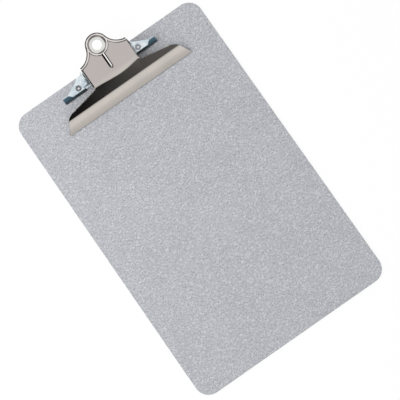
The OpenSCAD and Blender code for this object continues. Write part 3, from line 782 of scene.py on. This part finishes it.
for node, slot_name in (("board", "board_enamel"), ("clip_base", "zinc_plate")):
    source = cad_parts[node]
    mesh = source.data.copy()
    mesh.transform(source.matrix_world)
    shape = bmesh.new()
    shape.from_mesh(mesh)
    bmesh.ops.remove_doubles(shape, verts=shape.verts, dist=1e-3 * MM)
    shape.to_mesh(mesh)
    shape.free()
    mesh.polygons.foreach_set("use_smooth", [True] * len(mesh.polygons))
    steady_normals(mesh)
    mesh.materials.clear()
    mesh.materials.append(finishes[slot_name])
    made = bpy.data.objects.new(node + "_sheet", mesh)
    bpy.context.scene.collection.objects.link(made)
    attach(made, "board_and_base")
    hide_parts(node)
    print(made.name, len(mesh.vertices), "points")

# %% [markdown]
# ## Floor and light
# Bright metal shows its surroundings, so the studio matters as much as the finish. A pale floor, a pale sky
# and a large soft lamp on the left light the board evenly. Around the part stand cards that only the
# reflections show. A wide one in front, dark low in its middle, turns the riser dark, while the lip, which
# faces further up, stays light. On the other three sides the cards are low, and only those on the left and
# behind have a tall narrow part: the metal shows something dark from the photo's side, and a light sky
# from the others. A card flat over the board keeps the board's own glow out of the metal.

# %% Stage
STAGE = 0.75


def flat_colour(name, colour, shine=0.5):
    made = bpy.data.materials.new(name)
    made.use_nodes = True
    plugs = made.node_tree.nodes["Principled BSDF"].inputs
    plugs["Base Color"].default_value = colour
    plugs["Roughness"].default_value = 0.9
    plugs["Specular IOR Level"].default_value = shine
    return made


def card(name, corners, material, seen=False):
    """A four-cornered card of the stage, in metres. Unless seen, only reflections show it."""
    mesh = bpy.data.meshes.new(name)
    mesh.from_pydata(corners, [], [(0, 1, 2, 3)])
    mesh.materials.append(material)
    made = bpy.data.objects.new(name, mesh)
    bpy.context.scene.collection.objects.link(made)
    if not seen:
        made.visible_camera = made.visible_diffuse = made.visible_shadow = False


def standing(name, start, end, low, high, material):
    """An upright card from start to end, both (x, y), and from low to high."""
    card(name, [(*start, low), (*end, low), (*end, high), (*start, high)], material)


def lying(name, x, y, z, material, seen=False):
    """A level card with its face up, over the ranges x and y."""
    card(name, [(x[0], y[0], z), (x[1], y[0], z), (x[1], y[1], z), (x[0], y[1], z)], material, seen)


def lamp(name, place, aim, size, watts):
    data = bpy.data.lights.new(name, "AREA")
    data.energy, data.size = watts, size
    made = bpy.data.objects.new(name, data)
    made.location = place
    made.rotation_euler = (Vector(aim) - Vector(place)).to_track_quat("-Z", "Y").to_euler()
    bpy.context.scene.collection.objects.link(made)
    return made


def looking(tree):
    """1 for the rays of the camera, of reflections and of transmission, and 0 for those of soft light."""
    paths = Signal(tree, None).node("LightPath").socket.node.outputs
    seen = Signal(tree, paths["Is Camera Ray"])
    for kind in ("Is Glossy Ray", "Is Transmission Ray"):
        seen = seen.math("MAXIMUM", Signal(tree, paths[kind]))
    return seen


def white_floor():
    """A pale floor that the camera and the reflections see mostly as plain white, with its shadows."""
    made = flat_colour("floor_white", (0.95, 0.95, 0.95, 1))
    tree = made.node_tree
    paint = Signal(tree, tree.nodes["Principled BSDF"].outputs[0])
    plain = paint.node("Emission", Strength=1.0)
    tree.links.new(paint.node("MixShader", i0=looking(tree) * 0.92, i1=paint, i2=plain).socket,
                   tree.nodes["Material Output"].inputs["Surface"])
    return made


def shaded_card(name):
    """A card that glows faintly low in its middle and almost white elsewhere; its back is clear."""
    made = bpy.data.materials.new(name)
    made.use_nodes = True
    tree = made.node_tree
    tree.nodes.remove(tree.nodes["Principled BSDF"])
    place = object_place(tree)
    x, z = place.axis(0), place.axis(2)
    low = (0.07 + x * 1.2).math("MAXIMUM", 0.012).math("MINIMUM", 0.16)
    high = (0.72 + (z - 0.6) * 0.14).math("MINIMUM", 1.0)
    even = z.ramp(0.38, 0.5).math("MAXIMUM", abs(x).ramp(0.4, 0.6))
    glow = low + even * (high - low)
    light = glow.node("Emission", Strength=glow)
    clear = glow.node("BsdfTransparent")
    back = glow.node("NewGeometry", output=6)
    tree.links.new(back.node("MixShader", i0=back, i1=light, i2=clear).socket,
                   tree.nodes["Material Output"].inputs["Surface"])
    return made


floor_white = white_floor()
shaded = shaded_card("card_shaded")
black = flat_colour("card_black", (0.012, 0.012, 0.012, 1), 0.0)
lying("floor", (-6, 6), (-6, 6), -0.0006, floor_white, True)
standing("card_front", (1.6, -STAGE), (-1.6, -STAGE), 0, 2.6, shaded)
standing("card_left", (-STAGE, -1.2), (-STAGE, 1.2), 0, 0.15, black)
standing("card_left_tall", (-STAGE, -0.25), (-STAGE, 0.4), 0.15, 0.85, black)
standing("card_back", (-1.6, 0.95), (1.6, 0.95), 0, 0.15, black)
standing("card_back_tall", (-0.4, 0.95), (0.4, 0.95), 0.15, 0.7, black)
standing("card_right", (STAGE, 1.2), (STAGE, -1.2), 0, 0.2, black)
lying("flag_low", (-0.2, 0.2), (-0.74, 0.4), 0.0026, shaded)

lamp("lamp_top", (-0.75, 0.3, 0.85), (0, 0, 0), 0.9, 8.5).visible_glossy = False

world = bpy.data.worlds.new("studio")
bpy.context.scene.world = world
world.use_nodes = True
sky = looking(world.node_tree).blend((0.71, 0.715, 0.72, 1), (1, 1, 1, 1))
feed(world.node_tree, world.node_tree.nodes["Background"].inputs["Color"], sky)
print("stage ready")
